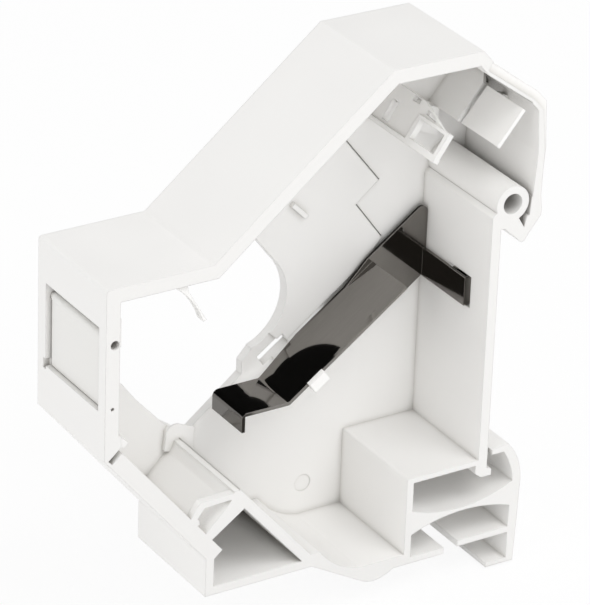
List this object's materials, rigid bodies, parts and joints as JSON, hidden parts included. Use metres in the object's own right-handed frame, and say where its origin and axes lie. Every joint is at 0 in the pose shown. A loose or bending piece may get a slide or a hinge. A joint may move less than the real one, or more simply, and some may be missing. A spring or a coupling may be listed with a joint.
{
  "type": "din rail keystone adapter",
  "caption": "White plastic rail adapter, open on one side, with a hook, spring latch, keystone bay, dust flap and folded metal earthing strip.",
  "frame": {"origin": "mid-depth on the face that sits on the rail, halfway between the hook and the latch lip", "axes": "+X out of the seat towards the rail, +Y into the depth from the open side to the back wall, +Z along the seat from the latch to the hook"},
  "size_m": [0.0688, 0.0184, 0.0812],
  "materials": {
    "white_plastic": "satin",
    "dark_steel": "polished",
    "flap_plastic": "satin"
  },
  "bodies": {
    "body": {"housing": "white_plastic", "ground_strip": "dark_steel"},
    "flap": {"dust_flap": "flap_plastic"}
  },
  "joints": [
    {"name": "flap_hinge", "type": "hinge", "parent": "body", "child": "flap", "pos_m": [-0.06025, 0, 0.0147], "axis": [0, 1, 0], "range_deg": [0, 130]}
  ]
}
